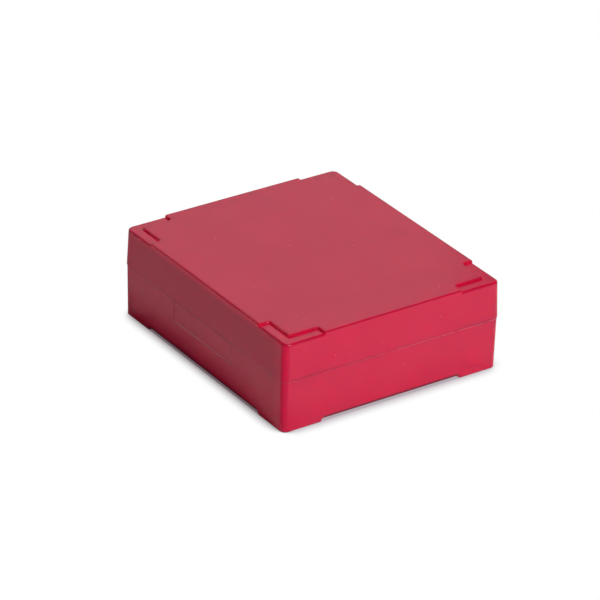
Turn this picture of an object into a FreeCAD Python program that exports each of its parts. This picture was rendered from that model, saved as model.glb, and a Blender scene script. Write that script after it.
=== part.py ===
# Stackable two-piece plastic box for art supplies: a base with four corner feet and a lift-off lid.
# Millimetres. X runs along the front, the front faces -Y, Z is up.
# The origin is on the surface that the feet stand on, under the middle of the box.
import FreeCAD, Part
import math
import os

# Overall sizes
box_length = 184.5        # along X, outside the lid at its lower edge
box_depth = 162.6         # along Y, outside the lid at its lower edge
box_height = 62.6         # from the soles of the feet to the top of the lid
parting_height = 35.6     # where the lid's skirt sits on the base
corner_radius = 4.5       # upright corners, outside the lid

# Walls of the two mouldings
wall = 2.0                # side walls of the base
floor_thickness = 2.0
lid_plate = 2.0           # top of the lid
lid_overhang = 0.35       # the lid's lower edge stands this far outside the base
base_draft = 0.55         # degrees, the base narrows downwards
lid_draft = 1.7           # degrees, the lid narrows upwards

# Lip on the base and the rebate in the lid that drops over it
lip_height = 4.0
lip_thickness = 0.95
lip_draft = 1.5           # degrees, the lip narrows upwards
lip_round = 0.3           # lead-in on the lip's outer edge
fit_clearance = 0.2       # between the lip and the rebate, on each side
lip_top_gap = 0.4         # between the lip's top and the rebate's ceiling

# Stacking recesses in the lid's top corners, each an L along the two edges
recess_depth = 1.55
recess_width = 7.6        # from the lid's top edge to the recess wall
recess_length = 28.8      # from the lid's top edge round the corner to the recess end
recess_draft = 6.0        # degrees

# Feet under the base, which drop into the recesses of a box below
foot_height = 1.95
foot_draft = 30.0         # degrees, the inner and end walls
sole_thickness = 2.0
stack_clearance = 0.6     # between a foot and the recess it stands in

# Bare label panel sunk into the base's front
panel_length = 67.0
panel_height = 14.6
panel_depth = 0.2
panel_slope = 28.0        # degrees, lean of the panel's edges
panel_corner_radius = 1.2
panel_top_margin = 0.6    # between the parting line and the panel

# Rounded edges
edge_round = 1.0          # raised part of the lid's top
rim_round = 1.5           # the lid's rim beside the recesses
base_round = 0.8          # the base's lower edge
sole_round = 0.5
parting_round = 0.25      # the two edges that meet at the parting line
inner_round = 1.2         # inside, between floor and walls
least_inner_radius = 1.5  # inside upright corners are never tighter than this
plan_round_margin = 0.25  # upright edges of feet and recesses, over the edge round

# Margins where shapes are joined or cut
overlap_margin = 0.3      # feet and raised lid top run into the body this far past its rounded rim
cut_margin = 1.0          # a cutting shape runs this far past an open side
same_place = 1e-6         # two points closer than this are one

# Values worked out from the sizes above
half_length = box_length / 2
half_depth = box_depth / 2
recess_floor = box_height - recess_depth
floor_top = foot_height + floor_thickness
lip_top = parting_height + lip_height
inner_inset = lid_overhang + wall
inner_radius = max(corner_radius - inner_inset, least_inner_radius)
plan_round = edge_round + plan_round_margin
overlap = rim_round + overlap_margin


def rise(height, draft):
    # How far a drafted face moves sideways over a height.
    return height * math.tan(math.radians(draft))


def lid_inset(z):
    # Outside of the lid at a height, measured in from the lid's lower edge.
    return rise(z - parting_height, lid_draft)


def base_inset(z):
    # Outside of the base at a height, measured in from the lid's lower edge.
    return lid_overhang + rise(parting_height - z, base_draft)


def lip_inset(z):
    # Outside of the lip at a height, measured in from the lid's lower edge.
    return inner_inset - lip_thickness + rise(z - parting_height, lip_draft)


def recess_inset(size, z):
    # A recess wall at a height, where size is its distance from the lid's top edge at the recess floor.
    return lid_inset(box_height) + size + rise(z - recess_floor, recess_draft)


def foot_inset(size, z):
    # A foot's inner wall at a height. Its sole is clear of the recess wall of the same size.
    return lid_inset(box_height) + size - stack_clearance + rise(z, foot_draft)


def rectangle(inset):
    # Corners of the box's plan, drawn in by an inset.
    x = half_length - inset
    y = half_depth - inset
    return [(-x, -y), (x, -y), (x, y), (-x, y)]


def quarter_turns(first_quarter):
    # Corners given for the front right quarter, repeated round the whole plan.
    front_left = [(-x, y) for x, y in reversed(first_quarter)]
    front = front_left + first_quarter
    back = [(x, -y) for x, y in reversed(front)]
    return front + back


def plateau(outer, inner, end):
    # Plan of the raised part of the lid's top: the rectangle without an L in each corner.
    front_right = [
        (half_length - end, outer - half_depth),
        (half_length - end, inner - half_depth),
        (half_length - inner, inner - half_depth),
        (half_length - inner, end - half_depth),
        (half_length - outer, end - half_depth),
    ]
    return quarter_turns(front_right)


def corner_ell(outer, inner, end):
    # Plan of one L at the front right corner.
    return [
        (half_length - end, outer - half_depth),
        (half_length - outer, outer - half_depth),
        (half_length - outer, end - half_depth),
        (half_length - inner, end - half_depth),
        (half_length - inner, inner - half_depth),
        (half_length - end, inner - half_depth),
    ]


def tapered_prism(low_plan, low_z, high_plan, high_z):
    # Solid with flat sides between two plans that have the same number of corners.
    low = [FreeCAD.Vector(x, y, low_z) for x, y in low_plan]
    high = [FreeCAD.Vector(x, y, high_z) for x, y in high_plan]
    loops = [low[::-1], high]
    for here in range(len(low)):
        after = (here + 1) % len(low)
        loops.append([low[here], low[after], high[after], high[here]])
    faces = [Part.Face(Part.makePolygon(loop + loop[:1])) for loop in loops]
    return Part.Solid(Part.Shell(faces))


def at_height(edge, z):
    box = edge.BoundBox
    return abs(box.ZMin - z) < same_place and abs(box.ZMax - z) < same_place


def round_loop(solid, z, radius):
    # Rounds every edge that lies flat at one height.
    return solid.makeFillet(radius, [edge for edge in solid.Edges if at_height(edge, z)])


def round_uprights(solid, radius, chosen=None):
    # Rounds the edges that run upwards, or those of them that stand at the chosen plan corners.
    uprights = []
    for edge in solid.Edges:
        low, high = sorted(vertex.Z for vertex in edge.Vertexes)
        foot = min(edge.Vertexes, key=lambda vertex: vertex.Z)
        near = chosen is None or any(math.hypot(foot.X - x, foot.Y - y) < same_place for x, y in chosen)
        if high - low > same_place and near:
            uprights.append(edge)
    return solid.makeFillet(radius, uprights)


def drafted_block(inset_at, low_z, high_z, radius):
    # Block of the box's plan with rounded upright corners, where inset_at gives the inset at a height.
    solid = tapered_prism(rectangle(inset_at(low_z)), low_z, rectangle(inset_at(high_z)), high_z)
    return round_uprights(solid, radius)


def on_four_corners(shape):
    # A shape at the front right corner, and its mirror images at the other three.
    origin = FreeCAD.Vector(0, 0, 0)
    right_pair = [shape, shape.mirror(origin, FreeCAD.Vector(0, 1, 0))]
    left_pair = [copy.mirror(origin, FreeCAD.Vector(1, 0, 0)) for copy in right_pair]
    return right_pair + left_pair


def lid_top(low_z, high_z, thickness):
    # The raised part of the lid's top, drawn in by a wall thickness.
    def plan(z):
        return plateau(
            lid_inset(z) + thickness,
            recess_inset(recess_width, z) + thickness,
            recess_inset(recess_length, z) + thickness,
        )

    return round_uprights(tapered_prism(plan(low_z), low_z, plan(high_z), high_z), plan_round)


def foot_solid():
    # One L-shaped foot, up into the floor that it grows from.
    top_z = foot_height + overlap

    def plan(z):
        return corner_ell(base_inset(z), foot_inset(recess_width, z), foot_inset(recess_length, z))

    sole = plan(0)
    solid = tapered_prism(sole, 0, plan(top_z), top_z)
    box_corner = sole[1]
    solid = round_uprights(solid, corner_radius - lid_overhang, [box_corner])
    solid = round_uprights(solid, plan_round, [corner for corner in sole if corner != box_corner])
    return round_loop(solid, 0, sole_round)


def foot_pocket():
    # The hollow in a foot, so that the plastic keeps its thickness there.
    top_z = floor_top + inner_round

    def plan(z):
        return corner_ell(
            base_inset(z) + wall,
            foot_inset(recess_width, min(z, floor_top)) - wall,
            foot_inset(recess_length, min(z, floor_top)) - wall,
        )

    solid = tapered_prism(plan(sole_thickness), sole_thickness, plan(top_z), top_z)
    box_corner = plan(sole_thickness)[1]
    solid = round_uprights(solid, inner_radius, [box_corner])
    return solid


def label_panel():
    # Cutting shape for the shallow bare panel, square to the drafted front wall.
    slope_run = panel_depth / math.tan(math.radians(panel_slope))

    def plan(grow):
        x = panel_length / 2 + grow
        y = panel_height / 2 + grow
        return [(-x, -y), (x, -y), (x, y), (-x, y)]

    solid = tapered_prism(plan(-slope_run), -panel_depth, plan(slope_run), panel_depth)
    solid = round_uprights(solid, panel_corner_radius)
    middle_z = parting_height - panel_top_margin - panel_height / 2
    middle = FreeCAD.Vector(0, base_inset(middle_z) - half_depth, middle_z)
    lean = FreeCAD.Rotation(FreeCAD.Vector(1, 0, 0), 90 + base_draft)
    solid.Placement = FreeCAD.Placement(middle, lean)
    return solid


def make_base():
    radius = corner_radius - lid_overhang
    body = drafted_block(base_inset, foot_height, parting_height, radius)
    body = round_loop(body, foot_height, base_round)
    body = round_loop(body, parting_height, parting_round)

    lip = drafted_block(lip_inset, parting_height - wall, lip_top, inner_radius + lip_thickness)
    lip = round_loop(lip, lip_top, lip_round)
    body = body.fuse(on_four_corners(foot_solid()) + [lip]).removeSplitter()

    def inside(z):
        return base_inset(z) + wall

    cavity = drafted_block(inside, floor_top, lip_top + cut_margin, inner_radius)
    cavity = round_loop(cavity, floor_top, inner_round)
    pockets = on_four_corners(foot_pocket())
    return body.cut([cavity, label_panel()] + pockets).removeSplitter()


def make_lid():
    body = drafted_block(lid_inset, parting_height, recess_floor, corner_radius)
    body = round_loop(body, recess_floor, rim_round)
    body = round_loop(body, parting_height, parting_round)
    raised = round_loop(lid_top(recess_floor - overlap, box_height, 0), box_height, edge_round)
    body = body.fuse(raised).removeSplitter()

    def inside(z):
        return lid_inset(z) + inner_inset

    def rebate_inset(z):
        return lip_inset(z) - fit_clearance

    low_ceiling = recess_floor - lid_plate
    high_ceiling = box_height - lid_plate
    cavity = drafted_block(inside, parting_height - cut_margin, low_ceiling, inner_radius)
    raised_cavity = lid_top(low_ceiling - overlap, high_ceiling, inner_inset)
    raised_cavity = round_loop(raised_cavity, high_ceiling, edge_round)
    rebate_top = lip_top + lip_top_gap
    rebate_radius = inner_radius + lip_thickness + fit_clearance
    rebate = drafted_block(rebate_inset, parting_height - cut_margin, rebate_top, rebate_radius)
    return body.cut([cavity, raised_cavity, rebate]).removeSplitter()


os.makedirs("parts", exist_ok=True)
for name, piece in (("base", make_base()), ("lid", make_lid())):
    solid = piece.Solids[0]
    print(name, "solids", len(piece.Solids), "valid", solid.isValid(), "volume", round(solid.Volume))
    solid.exportStep("parts/" + name + ".step")
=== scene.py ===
# %% [markdown]
# A red moulded box for art supplies, seen as in a shop photograph. The real thing is two plastic
# mouldings: a base that stands on four corner feet, and a deep lid that lifts off. Both shapes come
# from the CAD model, in metres, with every round and draft already in them. So this lesson models
# nothing again. It is about the rest of a good picture: camera, floor, light and above all the
# plastic itself.

# %% Load the packed model
import math
import bmesh
import bpy
from mathutils import Euler, Matrix, Vector


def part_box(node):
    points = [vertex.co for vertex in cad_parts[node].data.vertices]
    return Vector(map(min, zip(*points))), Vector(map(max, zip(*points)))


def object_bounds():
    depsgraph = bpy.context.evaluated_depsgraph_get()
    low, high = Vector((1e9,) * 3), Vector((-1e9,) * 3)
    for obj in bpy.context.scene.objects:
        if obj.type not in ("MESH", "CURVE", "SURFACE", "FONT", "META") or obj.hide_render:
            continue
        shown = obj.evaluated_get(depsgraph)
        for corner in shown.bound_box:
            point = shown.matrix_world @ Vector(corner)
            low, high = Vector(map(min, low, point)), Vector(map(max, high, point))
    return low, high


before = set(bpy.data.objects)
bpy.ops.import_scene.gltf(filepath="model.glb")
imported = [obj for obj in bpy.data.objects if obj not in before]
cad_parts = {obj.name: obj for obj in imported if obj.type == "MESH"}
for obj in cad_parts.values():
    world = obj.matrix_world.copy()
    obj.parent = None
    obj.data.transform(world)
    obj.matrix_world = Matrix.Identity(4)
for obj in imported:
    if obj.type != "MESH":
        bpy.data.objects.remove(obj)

cad_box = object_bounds()
lid_low, lid_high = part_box("lid")
scene = bpy.context.scene
cad_size = cad_box[1] - cad_box[0]
print("nodes:", sorted(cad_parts), "size in mm:", [round(1000 * length, 1) for length in cad_size])

# %% [markdown]
# The camera. A long lens from far away keeps the box's edges nearly parallel, as in a catalogue
# picture. It could be placed by eye, but an orbit is easier to reason about: a point that it looks
# at, a distance, and three angles. Azimuth is counted from the front towards the right, elevation
# is above the floor, and roll tips the picture.

# %% Place the camera on its orbit
camera_aim = Vector((0.0011, -0.00835, 0.031))
camera_distance = 2.4864
camera_azimuth = math.radians(55.374)
camera_elevation = math.radians(28.23)
camera_roll = math.radians(1.564)
focal_length = 236.0      # in millimetres, as on a real lens
farthest_seen = 20


def on_orbit(azimuth, elevation, distance, aim):
    """A point on a sphere round the aim."""
    level = math.cos(elevation)
    outwards = Vector((math.sin(azimuth) * level, -math.cos(azimuth) * level, math.sin(elevation)))
    return aim + outwards * distance


def looking_in(azimuth, elevation, roll, spot):
    """The matrix of a camera or lamp at a spot on the orbit that looks back at the aim."""
    turn = Euler((math.pi / 2 - elevation, 0, azimuth)).to_matrix().to_4x4()
    return Matrix.Translation(spot) @ turn @ Matrix.Rotation(roll, 4, "Z")


lens = bpy.data.cameras.new("catalogue_lens")
lens.lens = focal_length
lens.clip_end = farthest_seen
camera = bpy.data.objects.new("camera", lens)
scene.collection.objects.link(camera)
camera_spot = on_orbit(camera_azimuth, camera_elevation, camera_distance, camera_aim)
camera.matrix_world = looking_in(camera_azimuth, camera_elevation, camera_roll, camera_spot)
scene.camera = camera
scene.view_settings.view_transform = "Standard"
print("camera at", [round(v, 3) for v in camera_spot])

# %% [markdown]
# Shader graphs are easier to read as sums than as boxes and wires. The class below wraps one output
# of a node. Adding or multiplying two of them adds a Math node, so a line such as 1 - mask reads as
# it does on paper. Every other kind of node comes from one method, which sets the node's options
# first, because some of them decide which sockets there are.

# %% Write shader maths as expressions
class Signal:
    """One output of a shader node, with arithmetic."""

    def __init__(self, tree, socket=None):
        self.tree = tree
        self.socket = socket

    def node(self, kind, settings=None, sockets=None, output=0):
        """A new node in the same tree, whose sockets take values or links."""
        made = self.tree.nodes.new(kind)
        for name, value in (settings or {}).items():
            setattr(made, name, value)
        for name, value in (sockets or {}).items():
            if isinstance(value, Signal):
                self.tree.links.new(value.socket, made.inputs[name])
            else:
                made.inputs[name].default_value = value
        return Signal(self.tree, made.outputs[output] if made.outputs else None)

    def maths(self, operation, *values):
        return self.node("ShaderNodeMath", {"operation": operation}, dict(enumerate(values)))

    def __add__(self, other):
        return self.maths("ADD", self, other)

    __radd__ = __add__

    def __sub__(self, other):
        return self.maths("SUBTRACT", self, other)

    def __rsub__(self, other):
        return self.maths("SUBTRACT", other, self)

    def __mul__(self, other):
        return self.maths("MULTIPLY", self, other)

    __rmul__ = __mul__

    def __abs__(self):
        return self.maths("ABSOLUTE", self)

    def split(self):
        """The X, Y and Z of a vector."""
        first = self.node("ShaderNodeSeparateXYZ", None, {"Vector": self})
        return [Signal(self.tree, socket) for socket in first.socket.node.outputs]

    def step(self, low, high):
        """Runs smoothly from 0 at low to 1 at high, or the other way where high is the smaller."""
        limits = {"Value": self, "From Min": low, "From Max": high}
        return self.node("ShaderNodeMapRange", {"interpolation_type": "SMOOTHSTEP"}, limits)

    def mix(self, first, second):
        """A colour that goes from the first to the second as this value goes from 0 to 1."""
        # A Mix node has sockets for every type of data. Inputs 6 and 7 and output 2 are the colours.
        sockets = {0: self, 6: first, 7: second}
        return self.node("ShaderNodeMix", {"data_type": "RGBA"}, sockets, output=2)


def new_material(name):
    """An empty material, and a signal to start its nodes from."""
    material = bpy.data.materials.new(name)
    material.use_nodes = True
    material.node_tree.nodes.clear()
    return material, Signal(material.node_tree)


print("operators ready:", [name for name in vars(Signal) if name.startswith("__r")])

# %% [markdown]
# The floor is a sheet of white studio paper, far wider than the picture. Studios often sweep it up
# behind the object to hide the horizon. Here paper and background are the same white, so a flat disc is
# enough. It belongs to the picture and not to the part.

# %% Lay the paper
paper_radius = 3.0
paper_segments = 96

paper_mesh = bmesh.new()
bmesh.ops.create_circle(paper_mesh, cap_ends=True, segments=paper_segments, radius=paper_radius)
paper_data = bpy.data.meshes.new("studio_paper")
paper_mesh.to_mesh(paper_data)
paper_mesh.free()
paper = bpy.data.objects.new("studio_paper", paper_data)
scene.collection.objects.link(paper)
print("paper", 2 * paper_radius, "m across")

# %% [markdown]
# In a shop picture the paper is burnt out to pure white. Light that strong would also wash out the
# box, so each kind of ray meets another paper here. Rays that carry light to the box meet ordinary
# white paper. Mirror rays draw the gloss on the box's sides, and in front of the box they meet a
# dimmer one. It is dimmest in a fan that opens from the near corner, because the lower half of the
# real front seems to mirror something dark and shows its full red.

# %% Dim the paper for mirror rays
paper_white = 0.88
corner_inset = 0.00425
near_corner = (lid_high.x - corner_inset, lid_low.y + corner_inset)
dim_in_front = 0.28
front_fade = (-0.03, 0.0)
dim_in_fan = 0.44
fan_left_edge = (-0.9, -0.65)      # bearings in radians, from straight ahead towards the right
fan_right_edge = (1.8, 0.8)
fan_start = (0.004, 0.02)

paper_material, paper_nodes = new_material("overexposed_paper")
ground = paper_nodes.node("ShaderNodeTexCoord", output="Object")
across, along = ground.split()[:2]
beside = across - near_corner[0]
ahead = near_corner[1] - along
bearing = paper_nodes.maths("ARCTAN2", beside, ahead)
gap = paper_nodes.maths("SQRT", beside * beside + ahead * ahead)
fan = bearing.step(*fan_left_edge) * bearing.step(*fan_right_edge) * gap.step(*fan_start)
dimming = dim_in_front * ahead.step(*front_fade) + dim_in_fan * fan
mirrored = paper_nodes.node("ShaderNodeLightPath", output="Is Glossy Ray")
lit_white = paper_white * (1 - mirrored * dimming)
lit_paper = paper_nodes.node("ShaderNodeBsdfDiffuse", None, {"Color": lit_white})
print("dimmest mirrored white:", round(paper_white * (1 - dim_in_front - dim_in_fan), 2))

# %% [markdown]
# The camera meets a third paper that shines by itself: white, but for the shadow gathered where the box
# touches it, which is painted shadow in its glow. Lamps alone could cast that shadow, but then paper and
# box could not be exposed apart. Ambient occlusion measures how much of what is over a point is covered
# by things close by, and that is the very shape of a contact shadow. In front of the box, away from the
# key lamp, the shadow reaches further and is deeper. The red of the box tints it a little: a painted
# tint that stands for the red light the box throws on the paper.

# %% Burn the paper out for the camera
front_starts = (-0.006, 0.002)
shadow_reach = 0.014
front_reach = 1.2
shadow_samples = 16
deepest_beside = 0.39
deepest_in_front = 0.11
beside_contrast = (0.32, 0.88)
front_contrast = (0.36, 0.78)
tint_beside = (0.12, 0.0, 0.07, 1)
tint_in_front = (0.05, 0.0, 0.02, 1)
pure_white = (1, 1, 1, 1)

in_front = ahead.step(*front_starts)
reach = shadow_reach * (1 + (front_reach - 1) * in_front)
open_sky = paper_nodes.node(
    "ShaderNodeAmbientOcclusion", {"samples": shadow_samples}, {"Distance": reach}, output="AO"
)
tone_beside = deepest_beside + (1 - deepest_beside) * open_sky.step(*beside_contrast)
tone_in_front = deepest_in_front + (1 - deepest_in_front) * open_sky.step(*front_contrast)
tone = tone_beside + in_front * (tone_in_front - tone_beside)
burnt_colour = tone.mix(in_front.mix(tint_beside, tint_in_front), pure_white)
burnt_paper = paper_nodes.node("ShaderNodeEmission", None, {"Color": burnt_colour})
paper_seen = paper_nodes.node("ShaderNodeLightPath", output="Is Camera Ray")
paper_look = paper_nodes.node("ShaderNodeMixShader", None, {0: paper_seen, 1: lit_paper, 2: burnt_paper})
paper_nodes.node("ShaderNodeOutputMaterial", None, {"Surface": paper_look})
paper_data.materials.append(paper_material)
print("nodes in the paper:", len(paper_material.node_tree.nodes))

# %% [markdown]
# The studio is a dark room with one pale wall, low down on the front left. Its light falls on the
# shaded front of the box and on the paper before it, which the front mirrors, and that turns the red
# there hazy. A picture of a real studio could light the scene as well, but one wall made of a few
# sums is easier to steer. The camera sees white all round, so that other views have the same clean
# background.

# %% Make the room
wall_grey = 0.5
ceiling_grey = 0.03
wall_direction = (-0.8, -0.6)
wall_top = (0.36, 0.2)
wall_end = (-0.3, 0.4)

scene.world = bpy.data.worlds.new("studio_room")
scene.world.use_nodes = True
scene.world.node_tree.nodes.clear()
room = Signal(scene.world.node_tree)
direction = room.node("ShaderNodeTexCoord", output="Generated")
rightwards, backwards, upwards = direction.split()
towards_wall = wall_direction[0] * rightwards + wall_direction[1] * backwards
wall = upwards.step(*wall_top) * towards_wall.step(*wall_end)
grey = ceiling_grey + (wall_grey - ceiling_grey) * wall
room_seen = room.node("ShaderNodeLightPath", output="Is Camera Ray")
glow = room.node("ShaderNodeBackground", None, {"Strength": grey + room_seen * (1 - grey)})
room.node("ShaderNodeOutputWorld", None, {"Surface": glow})
print("room from", ceiling_grey, "to", wall_grey, "of white")

# %% [markdown]
# Four soft lamps, on orbits round the box like the camera's. The key stands on the right and a
# little behind: it makes the right side the brightest, leaves the front in shade and keeps a narrow
# strip of the lit paper before it dark. A wide low panel at the left is what the lid's top mirrors,
# and lifts its red to a paler one. A small lamp overhead evens out the top, and stands a little
# behind the box for the sake of the same dark strip. A weak reflector at the front left keeps the
# front from going black.

# %% Hang the lamps
lamp_aim = Vector((0, 0, 0.03))


def softbox(name, azimuth, elevation, distance, width, height, watts):
    """A rectangular area lamp on an orbit round the box, turned towards it, with angles in degrees."""
    lamp = bpy.data.lights.new(name, "AREA")
    lamp.shape = "RECTANGLE"
    lamp.size = width
    lamp.size_y = height
    lamp.energy = watts
    holder = bpy.data.objects.new(name, lamp)
    scene.collection.objects.link(holder)
    lamp_spot = on_orbit(math.radians(azimuth), math.radians(elevation), distance, lamp_aim)
    holder.matrix_world = looking_in(math.radians(azimuth), math.radians(elevation), 0, lamp_spot)
    print(name, "at", [round(v, 2) for v in lamp_spot], watts, "W")


softbox("key_softbox", azimuth=97, elevation=37, distance=2.4, width=0.45, height=0.45, watts=46)
softbox("side_panel", azimuth=256, elevation=28, distance=1.8, width=1.6, height=0.9, watts=3.1)
softbox("overhead_fill", azimuth=235, elevation=73, distance=1.0, width=0.3, height=0.3, watts=2.25)
softbox("low_reflector", azimuth=-52, elevation=8, distance=1.8, width=1.0, height=0.25, watts=1.0)

# %% [markdown]
# The plastic. It is coloured right through, so its red hardly changes, but a moulding is never one
# flat colour: the pigment drifts a little where the melt flowed, the skin has a fine satin grain from
# the mould, handling leaves faint smudges that only the gloss shows, and some dust always sits on it.
# The patterns below are those four. Painted pictures would do too, but they need a flattened map of
# the box. These fill space over the object's own coordinates, so they stay put when the lid is lifted.

# %% Start the plastic with its patterns
drift_scale = 22
drift_range = (0.3, 0.7)
grain_scale = 2600
smudge_scale = 38
smudge_range = (0.45, 0.75)
dust_scale = 150.0
speck_radius = (0.05, 0.03)
speck_chance = (0.7, 0.8)

red_plastic, plastic_nodes = new_material("red_moulded_plastic")
place = plastic_nodes.node("ShaderNodeTexCoord", output="Object")


def noise(scale, detail):
    """Cloudy noise over the object, with scale in lumps to the metre."""
    sockets = {"Vector": place, "Scale": scale, "Detail": detail}
    return plastic_nodes.node("ShaderNodeTexNoise", {"noise_dimensions": "3D"}, sockets)


def dust_cells(output):
    """One output of a pattern of cells, each with a point in it where a speck can sit."""
    sockets = {"Vector": place, "Scale": dust_scale}
    return plastic_nodes.node("ShaderNodeTexVoronoi", {"feature": "F1"}, sockets, output)


drift = noise(drift_scale, detail=3).step(*drift_range)
grain = noise(grain_scale, detail=2)
smudge = noise(smudge_scale, detail=4).step(*smudge_range)
cell_chance = plastic_nodes.node("ShaderNodeSeparateColor", None, {"Color": dust_cells("Color")})
dust = dust_cells("Distance").step(*speck_radius) * cell_chance.step(*speck_chance)
print("nodes in the patterns:", len(red_plastic.node_tree.nodes))

# %% [markdown]
# Some marks belong to places on the box. Where lid and base meet, a thin dark line of painted shade
# stands for the shadow in the seam, and towards the back a paler line takes its place: a painted
# highlight on the ledge. A dark line of painted shade also runs round the shallow label panel. The CAD
# shape has these steps, but they are finer than a pixel, so a mask in the pigment helps them to show.
# Seam and ledge need only the height of a point and how far back it is. The panel needs its distance
# from the sides of a rectangle.

# %% Find the seam, the ledge and the panel
parting_height = lid_low.z
seam_width = (0.0005, 0.0001)
ledge_drop = 0.0007
back_ramp_span = (-0.05, 0.02)
panel_half_length = 0.0335
panel_half_height = 0.0073
panel_top_margin = 0.0006
panel_middle = parting_height - panel_top_margin - panel_half_height
panel_facing = (0.8, 0.95)

side, depth, height = place.split()
normal = plastic_nodes.node("ShaderNodeTexCoord", output="Normal")
towards_back, towards_top = normal.split()[1:]
towards_front = -1 * towards_back

# A ramp from front to back: it fades the painted seam shade and strengthens the painted highlight on the
# ledge towards the back.
back_ramp = depth.step(*back_ramp_span)
# Painted shade: a thin dark line where lid and base meet, for the shadow in the gap.
seam_shade = abs(height - parting_height).step(*seam_width) * (1 - back_ramp)
# Painted highlight: a pale line just under the seam, on the base's upper edge.
ledge_glint = abs(height - parting_height + ledge_drop).step(*seam_width)
past_end = abs(side) - panel_half_length
past_edge = abs(height - panel_middle) - panel_half_height
from_panel = abs(plastic_nodes.maths("MAXIMUM", past_end, past_edge))
# Painted shade: a dark line round the label panel's edge.
panel_shade_line = from_panel.step(*seam_width) * towards_front.step(*panel_facing)
print("panel", 2000 * panel_half_length, "by", 2000 * panel_half_height, "mm")

# %% [markdown]
# In the photograph every rounded rim is a line of deeper red, finer than a lens and a pixel grid would
# draw by themselves, most likely because the picture was sharpened. Here that deeper red is painted
# shade in the pigment. A rim is where the surface is neither level nor upright, and its own normal tells
# that, so a mask can deepen the pigment there. The walls of the recesses lean by a few degrees, which
# marks them out as well, and they get painted shade too. The lower edge between the feet is painted dark
# too, as shade under the box, and is found by its height and place.

# %% Find the rims and the lower edge
rim_start = (0.04, 0.09)
rim_end = (0.995, 0.9)
recess_wall_end = (0.3, 0.15)
lower_edge_start = (0.0015, 0.0018)
lower_edge_end = (0.0042, 0.003)
foot_length = 0.03045
half_between_feet = (lid_high.x - foot_length, lid_high.y - foot_length)
foot_end = (0.0005, -0.0005)

tilt = abs(towards_top)
# These masks place painted shade on the rounded rims and on the recess walls.
rim = tilt.step(*rim_start) * tilt.step(*rim_end)
recess_wall = tilt.step(*rim_start) * tilt.step(*recess_wall_end)
past_front_feet = abs(side) - half_between_feet[0]
past_side_feet = abs(depth) - half_between_feet[1]
between_feet = plastic_nodes.maths("MINIMUM", past_front_feet, past_side_feet).step(*foot_end)
# Painted shade along the lower edge between the feet, where the gap under the box lies in shadow.
lower_edge_shade = between_feet * height.step(*lower_edge_start) * height.step(*lower_edge_end)
print("between the feet:", [round(2000 * half) for half in half_between_feet], "mm")

# %% [markdown]
# One band is brighter than lamps and scattering make it: the shaded front is a clearer red along its
# upper edge and beside the near corner, fading out over a few millimetres. A softer round on the real
# lid may cause it. The shape is settled, so the pigment is made lighter there instead: this band is
# painted light.

# %% Find the band of painted light on the front
band_strength = 0.6
band_drops = (0.0056, 0.0001)      # where the band begins and where it is full, below the lid's top
band_heights = [lid_high.z - drop for drop in band_drops]
corner_strength = 0.3
corner_reach = 0.011
corner_places = (near_corner[0] - corner_reach, near_corner[0])
front_facing = (0.3, 0.9)

# Painted light: the pigment is made lighter along the front's upper edge and beside the near corner.
along_top = band_strength * height.step(*band_heights)
along_corner = corner_strength * side.step(*corner_places)
painted_light_band = towards_front.step(*front_facing) * (1 - rim) * (along_top + along_corner)
print("band", round(1000 * (band_heights[1] - band_heights[0]), 1), "mm high")

# %% [markdown]
# Now the marks are laid over the pigment one after another, each as a mix that goes some way towards
# its own colour. They could be joined into one mask first, but then they would all share a colour.
# The painted highlight on the ledge lies in patches, and is stronger towards the back.

# %% Mix the pigment
pigment_deep = (0.58, 0.005, 0.048, 1)
pigment_light = (0.61, 0.007, 0.052, 1)
# Painted shade colour for the rims and the recess walls.
rim_shade_colour = (0.45, 0.002, 0.025, 1)
# Painted light colour for the band along the front.
painted_light_colour = (0.98, 0.01, 0.085, 1)
shade_colour = (0.1, 0.003, 0.012, 1)
# Painted shade colour for the seam and for the label panel's edge.
gap_shade_colour = (0.25, 0.003, 0.015, 1)
# Painted highlight colour for the ledge.
painted_glint_colour = (0.9, 0.3, 0.35, 1)
dust_colour = (0.75, 0.55, 0.55, 1)

rim_shade_strength = 0.5
recess_shade_strength = 0.35
lower_edge_shade_strength = 0.85
seam_shade_strength = 0.15
panel_shade_strength = 0.6
front_glint_strength = 0.06
back_glint_strength = 0.2
patch_scale = 120
patch_range = (0.3, 0.55)
dust_strength = 0.22

# The painted highlight on the ledge is stronger towards the back, and lies in patches.
glint_strength = front_glint_strength + (back_glint_strength - front_glint_strength) * back_ramp
glint_patches = ledge_glint * noise(patch_scale, detail=2).step(*patch_range)
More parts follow.
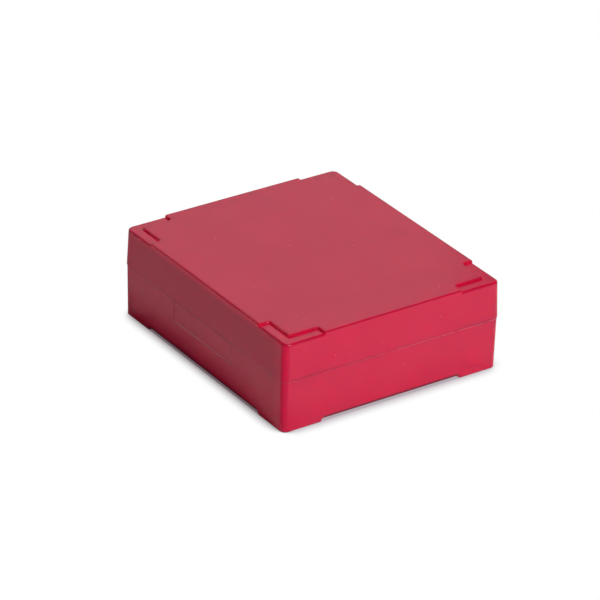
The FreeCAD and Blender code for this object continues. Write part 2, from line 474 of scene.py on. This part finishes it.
# Most of these marks are painted light or shade. Only the pigment drift and the dust specks are colour
# the box has under any lamp.
marks = [
    (rim_shade_strength * rim + recess_shade_strength * recess_wall, rim_shade_colour),
    (painted_light_band, painted_light_colour),
    (lower_edge_shade_strength * lower_edge_shade, shade_colour),
    (seam_shade_strength * seam_shade, gap_shade_colour),
    (panel_shade_strength * panel_shade_line, gap_shade_colour),
    (glint_strength * glint_patches, painted_glint_colour),
    (dust_strength * dust, dust_colour),
]
red = drift.mix(pigment_deep, pigment_light)
for mask, colour in marks:
    red = mask.mix(red, colour)
print("marks on the pigment:", len(marks))

# %% [markdown]
# The gloss and the depth. Roughness takes the smudges, the grain and the dust, so that the gloss breaks
# up where they are, and the grain is also a very shallow bump. Light goes a few millimetres into such
# plastic before it comes out again, red light furthest. Following it on a random walk is the more exact
# way, but the plastic has the simpler one.

# %% Make the plastic
bare_roughness = 0.12
smudge_roughness = 0.05
grain_roughness = 0.04
grain_middle = 0.5
dust_roughness = 0.3

roughness = bare_roughness + smudge_roughness * smudge + dust_roughness * dust
roughness = roughness + grain_roughness * (grain - grain_middle)
grain_bump = {"Strength": 0.15, "Distance": 0.00008, "Height": grain}
skin = plastic_nodes.node("ShaderNodeBump", None, grain_bump)
plastic = plastic_nodes.node(
    "ShaderNodeBsdfPrincipled",
    {"subsurface_method": "BURLEY"},
    {
        "Base Color": red,
        "Roughness": roughness,
        "IOR": 1.47,
        "Subsurface Weight": 1.0,
        "Subsurface Radius": (1.0, 0.15, 0.2),
        "Subsurface Scale": 0.005,
        "Normal": skin,
    },
)
plastic_nodes.node("ShaderNodeOutputMaterial", None, {"Surface": plastic})
print("nodes in the plastic:", len(red_plastic.node_tree.nodes))

# %% [markdown]
# Both mouldings keep their CAD shape and take the plastic in place of the plain colour they came with.

# %% Dress the mouldings
for name in ("base", "lid"):
    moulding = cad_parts[name]
    for slot in moulding.material_slots:
        slot.material = red_plastic
    print(name, "slots:", len(moulding.material_slots), "faces:", len(moulding.data.polygons))

# %% [markdown]
